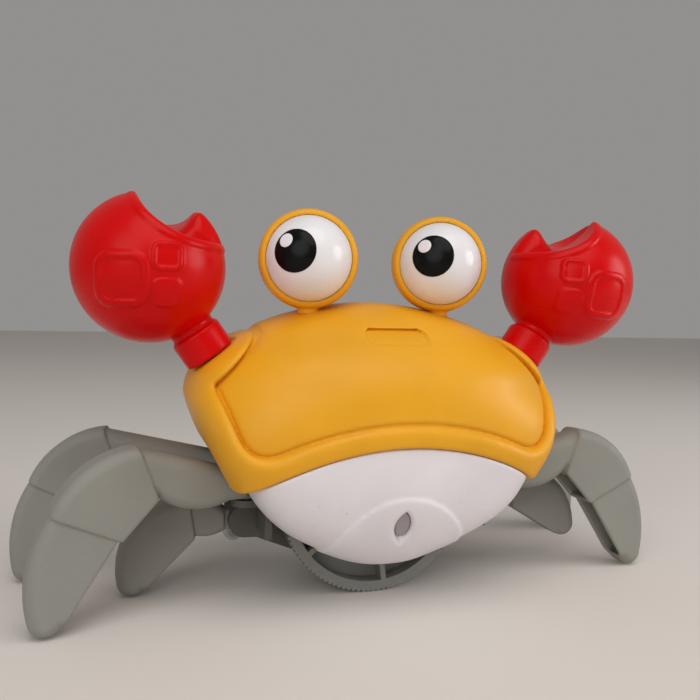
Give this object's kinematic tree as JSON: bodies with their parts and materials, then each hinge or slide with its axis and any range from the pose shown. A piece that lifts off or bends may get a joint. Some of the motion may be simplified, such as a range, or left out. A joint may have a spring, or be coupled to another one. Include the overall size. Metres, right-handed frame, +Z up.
{
  "type": "crawling crab toy",
  "caption": "Motorised toy crab with a domed yellow shell, white bib, swivelling eyes and red claws, moulded grey legs and a toothed drive wheel under the belly.",
  "frame": {"origin": "on the floor, under the centre of the body", "axes": "+Z up, -Y towards the crab's face, X across the legs"},
  "size_m": [0.211, 0.088, 0.1191],
  "materials": {
    "yellow": "smooth moulded",
    "white": "smooth moulded",
    "red": "smooth moulded",
    "leg_grey": "fine matt",
    "dark_grey": "fine matt",
    "wheel_grey": "fine matt",
    "eye_white": "polished",
    "black": "polished",
    "sensor_grey": "frosted",
    "steel": "bright",
    "gear_white": "moulded",
    "brass": "turned",
    "cell_blue": "shrink sleeve",
    "board_green": "lacquered"
  },
  "bodies": {
    "body": {"top_shell": "yellow", "belly_shell": "white", "leg_bracket_left": "leg_grey", "leg_bracket_right": "leg_grey", "gearbox_frame": "dark_grey", "switch_housing": "black", "speaker": "black", "ir_sensor": "sensor_grey", "idler_pin": "steel", "hip_pins_left": "steel", "hip_pins_right": "steel", "roller_pin_left": "steel", "roller_pin_right": "steel", "body_screws": "steel", "motor": "steel", "usb_socket": "steel", "axle_bushes": "brass", "battery": "cell_blue", "control_board": "board_green"},
    "drive": {"front_wheel": "wheel_grey", "rear_wheel": "wheel_grey", "drive_axle": "steel", "axle_gear": "gear_white"},
    "idler": {"idler_gear": "gear_white"},
    "pinion": {"motor_pinion": "gear_white"},
    "power_switch": {"power_switch": "black"},
    "leg_front_left": {"leg_front_left": "leg_grey"},
    "leg_middle_left": {"leg_middle_left": "leg_grey"},
    "leg_rear_left": {"leg_rear_left": "leg_grey"},
    "roller_left": {"side_roller_left": "white"},
    "eye_left": {"eye_cup_left": "yellow", "eyeball_left": "eye_white", "pupil_left": "black", "glint_left": "eye_white", "eye_clip_left": "white"},
    "claw_left": {"claw_left": "red", "claw_clip_left": "white"},
    "leg_front_right": {"leg_front_right": "leg_grey"},
    "leg_middle_right": {"leg_middle_right": "leg_grey"},
    "leg_rear_right": {"leg_rear_right": "leg_grey"},
    "roller_right": {"side_roller_right": "white"},
    "eye_right": {"eye_cup_right": "yellow", "eyeball_right": "eye_white", "pupil_right": "black", "glint_right": "eye_white", "eye_clip_right": "white"},
    "claw_right": {"claw_right": "red", "claw_clip_right": "white"}
  },
  "joints": [
    {"name": "drive_spin", "type": "hinge", "parent": "body", "child": "drive", "pos_m": [0, 0, 0.029], "axis": [0, 1, 0], "continuous": true},
    {"name": "idler_spin", "type": "hinge", "parent": "body", "child": "idler", "pos_m": [0, 0, 0.0482], "axis": [0, 1, 0], "continuous": true},
    {"name": "pinion_spin", "type": "hinge", "parent": "body", "child": "pinion", "pos_m": [0, 0, 0.0666], "axis": [0, 1, 0], "continuous": true},
    {"name": "power_slide", "type": "slide", "parent": "body", "child": "power_switch", "axis": [1, 0, 0], "range_m": [0, 0.004]},
    {"name": "leg_front_left_swing", "type": "hinge", "parent": "body", "child": "leg_front_left", "pos_m": [-0.0393, -0.01, 0.036], "axis": [0, 0, 1], "range_deg": [-14.8, 0]},
    {"name": "leg_rear_left_swing", "type": "hinge", "parent": "body", "child": "leg_rear_left", "pos_m": [-0.0393, 0.014, 0.036], "axis": [0, 0, 1], "range_deg": [-14.8, 0]},
    {"name": "leg_middle_left_lift", "type": "hinge", "parent": "body", "child": "leg_middle_left", "pos_m": [-0.0385, 0.003, 0.022], "axis": [0, 1, 0], "range_deg": [0, 13.9]},
    {"name": "roller_left_spin", "type": "hinge", "parent": "body", "child": "roller_left", "pos_m": [-0.0365, 0.036, 0.0084], "axis": [0, 1, 0], "continuous": true},
    {"name": "eye_left_turn", "type": "hinge", "parent": "body", "child": "eye_left", "pos_m": [-0.0212, -0.008, 0.0866], "axis": [0, 0, 1], "range_deg": [-35, 35]},
    {"name": "claw_left_turn", "type": "hinge", "parent": "body", "child": "claw_left", "pos_m": [-0.0503, -0.0084, 0.0732], "axis": [-0.5736, 0, 0.8192], "range_deg": [-60, 60]},
    {"name": "leg_front_right_swing", "type": "hinge", "parent": "body", "child": "leg_front_right", "pos_m": [0.0393, -0.01, 0.036], "axis": [0, 0, 1], "range_deg": [-14.8, 0]},
    {"name": "leg_rear_right_swing", "type": "hinge", "parent": "body", "child": "leg_rear_right", "pos_m": [0.0393, 0.014, 0.036], "axis": [0, 0, 1], "range_deg": [-14.8, 0]},
    {"name": "leg_middle_right_lift", "type": "hinge", "parent": "body", "child": "leg_middle_right", "pos_m": [0.0385, 0.003, 0.022], "axis": [0, 1, 0], "range_deg": [0, 13.9]},
    {"name": "roller_right_spin", "type": "hinge", "parent": "body", "child": "roller_right", "pos_m": [0.0365, 0.036, 0.0084], "axis": [0, 1, 0], "continuous": true},
    {"name": "eye_right_turn", "type": "hinge", "parent": "body", "child": "eye_right", "pos_m": [0.0212, -0.008, 0.0866], "axis": [0, 0, 1], "range_deg": [-35, 35]},
    {"name": "claw_right_turn", "type": "hinge", "parent": "body", "child": "claw_right", "pos_m": [0.0503, -0.0084, 0.0732], "axis": [0.5736, 0, 0.8192], "range_deg": [-60, 60]}
  ],
  "couplings": [
    {"joint": "idler_spin", "follows": "drive_spin", "ratio": -2},
    {"joint": "pinion_spin", "follows": "drive_spin", "ratio": 7.2},
    {"joint": "leg_rear_left_swing", "follows": "leg_front_left_swing", "ratio": 1},
    {"joint": "leg_middle_left_lift", "follows": "leg_front_left_swing", "ratio": -0.93919},
    {"joint": "leg_front_right_swing", "follows": "leg_front_left_swing", "ratio": 1},
    {"joint": "leg_rear_right_swing", "follows": "leg_front_left_swing", "ratio": 1},
    {"joint": "leg_middle_right_lift", "follows": "leg_front_left_swing", "ratio": -0.93919}
  ]
}
